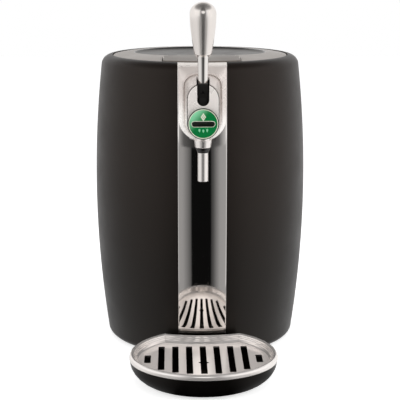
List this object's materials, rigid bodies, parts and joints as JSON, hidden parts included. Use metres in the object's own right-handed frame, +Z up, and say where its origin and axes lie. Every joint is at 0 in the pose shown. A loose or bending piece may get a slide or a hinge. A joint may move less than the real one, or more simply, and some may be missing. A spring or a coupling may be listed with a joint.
{
  "type": "mini keg beer dispenser",
  "caption": "Countertop cooler for a small beer keg: barrel housing, chrome tap column with pull handle and spout, hinged lid, lift-out drip tray with grille.",
  "frame": {"origin": "on the surface that it stands on, under the middle of the object's box", "axes": "+Z up, -Y to the front where the tap and tray are, +X to the right seen from the front"},
  "size_m": [0.2772, 0.4414, 0.453],
  "materials": {
    "satin_black": "satin moulded black, fine grain",
    "lid_grey": "satin dark grey",
    "chrome_trim": "polished, chrome plated",
    "matte_black": "matt black",
    "rubber": "soft black rubber",
    "badge_enamel": "glossy green enamel dome",
    "aluminium": "drawn and extruded aluminium",
    "steel": "turned steel",
    "foam": "white expanded foam",
    "ceramic": "white ceramic",
    "circuit_board": "green lacquered board"
  },
  "bodies": {
    "housing": {"left_shell": "satin_black", "right_shell": "satin_black", "rear_cover": "satin_black", "hinge_cover": "satin_black", "chrome_strip": "chrome_trim", "tap_nose": "chrome_trim", "tap_plate": "chrome_trim", "badge_ring": "chrome_trim", "spout_cone": "chrome_trim", "spout_tube": "chrome_trim", "base_pan": "matte_black", "tray_dock": "matte_black", "front_column": "matte_black", "chassis": "matte_black", "top_deck": "matte_black", "fan_frame": "matte_black", "power_inlet": "matte_black", "switch_bezel": "matte_black", "valve_block": "matte_black", "spout_collar": "matte_black", "foot_1": "rubber", "foot_2": "rubber", "foot_3": "rubber", "foot_4": "rubber", "deck_seal": "rubber", "badge_dome": "badge_enamel", "keg_well": "aluminium", "cold_block": "aluminium", "heat_sink": "aluminium", "hinge_pin": "steel", "lever_pin": "steel", "insulation": "foam", "cooling_element": "ceramic", "control_board": "circuit_board"},
    "lid": {"lid_shell": "lid_grey", "lid_liner": "lid_grey", "latch_pin": "steel"},
    "latch": {"latch_tab": "lid_grey"},
    "lever": {"lever_body": "matte_black", "tap_handle": "chrome_trim"},
    "slider": {"valve_slider": "steel"},
    "fan": {"fan_rotor": "matte_black"},
    "rocker": {"switch_rocker": "matte_black"},
    "tray": {"drip_tray": "matte_black"},
    "grille": {"drip_grille": "chrome_trim"}
  },
  "joints": [
    {"name": "lid_hinge", "type": "hinge", "parent": "housing", "child": "lid", "pos_m": [0, 0.17714, 0.375], "axis": [-1, 0, 0], "range_deg": [0, 95]},
    {"name": "latch_press", "type": "hinge", "parent": "lid", "child": "latch", "pos_m": [0, -0.01984, 0.3779], "axis": [1, 0, 0], "range_deg": [0, 5], "stiffness_Nm_per_rad": 4},
    {"name": "lever_tilt", "type": "hinge", "parent": "housing", "child": "lever", "pos_m": [0, -0.10585, 0.325], "axis": [1, 0, 0], "range_deg": [0, 35]},
    {"name": "valve_slide", "type": "slide", "parent": "housing", "child": "slider", "axis": [0, 0, 1], "range_m": [0, 0.007]},
    {"name": "fan_spin", "type": "hinge", "parent": "housing", "child": "fan", "pos_m": [0, 0.20715, 0.177], "axis": [0, 1, 0], "continuous": true},
    {"name": "switch_rock", "type": "hinge", "parent": "housing", "child": "rocker", "pos_m": [0.034, 0.21615, 0.044], "axis": [1, 0, 0], "range_deg": [-24, 0]},
    {"name": "tray_slide", "type": "slide", "parent": "housing", "child": "tray", "axis": [0, -1, 0], "range_m": [0, 0.08]},
    {"name": "grille_lift", "type": "slide", "parent": "tray", "child": "grille", "axis": [0, 0, 1], "range_m": [0, 0.04]}
  ],
  "couplings": [
    {"joint": "valve_slide", "follows": "lever_tilt", "m_per_rad": 0.01114}
  ]
}
